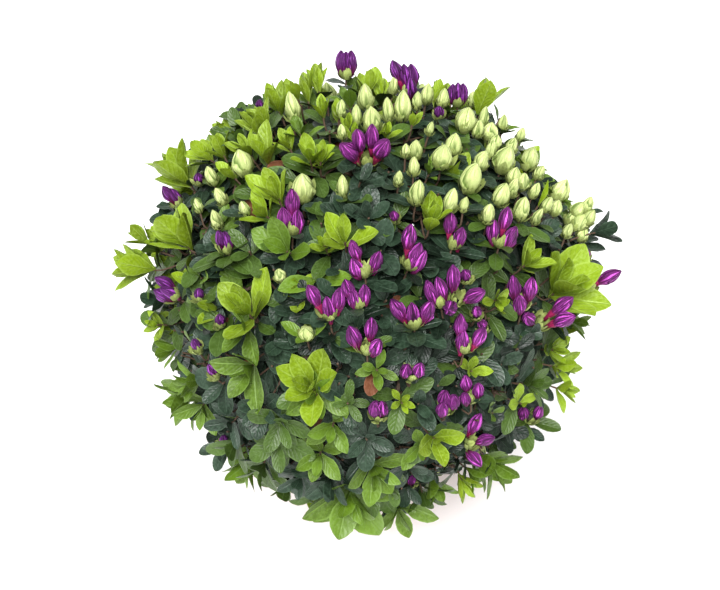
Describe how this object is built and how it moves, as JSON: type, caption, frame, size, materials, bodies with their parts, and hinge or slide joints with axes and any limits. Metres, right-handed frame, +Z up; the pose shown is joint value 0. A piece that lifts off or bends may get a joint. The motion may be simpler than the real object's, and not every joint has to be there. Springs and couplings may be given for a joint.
{
  "type": "potted rhododendron",
  "caption": "Dense round evergreen shrub with small leaves and closed flower buds, on a short forked stem in a tapered clay pot.",
  "frame": {"origin": "middle of the pot's flat underside", "axes": "+Z up along the stem, -Y towards the side of the crown that the picture shows nearest"},
  "size_m": [0.4196, 0.4206, 0.4869],
  "materials": {
    "clay": "matte",
    "potting_soil": "matte",
    "bark": "matte",
    "foliage": "satin"
  },
  "bodies": {
    "root": {"pot": "clay", "potting_soil": "potting_soil", "stem": "bark", "bough_top_1": "bark", "bough_upper_1": "bark", "bough_upper_2": "bark", "bough_upper_3": "bark", "bough_upper_4": "bark", "bough_upper_5": "bark", "bough_lower_1": "bark", "bough_lower_2": "bark", "bough_lower_3": "bark", "bough_lower_4": "bark", "bough_lower_5": "bark", "bough_lower_6": "bark", "foliage_top_1": "foliage", "foliage_upper_1": "foliage", "foliage_upper_2": "foliage", "foliage_upper_3": "foliage", "foliage_upper_4": "foliage", "foliage_upper_5": "foliage", "foliage_lower_1": "foliage", "foliage_lower_2": "foliage", "foliage_lower_3": "foliage", "foliage_lower_4": "foliage", "foliage_lower_5": "foliage", "foliage_lower_6": "foliage"}
  },
  "joints": []
}
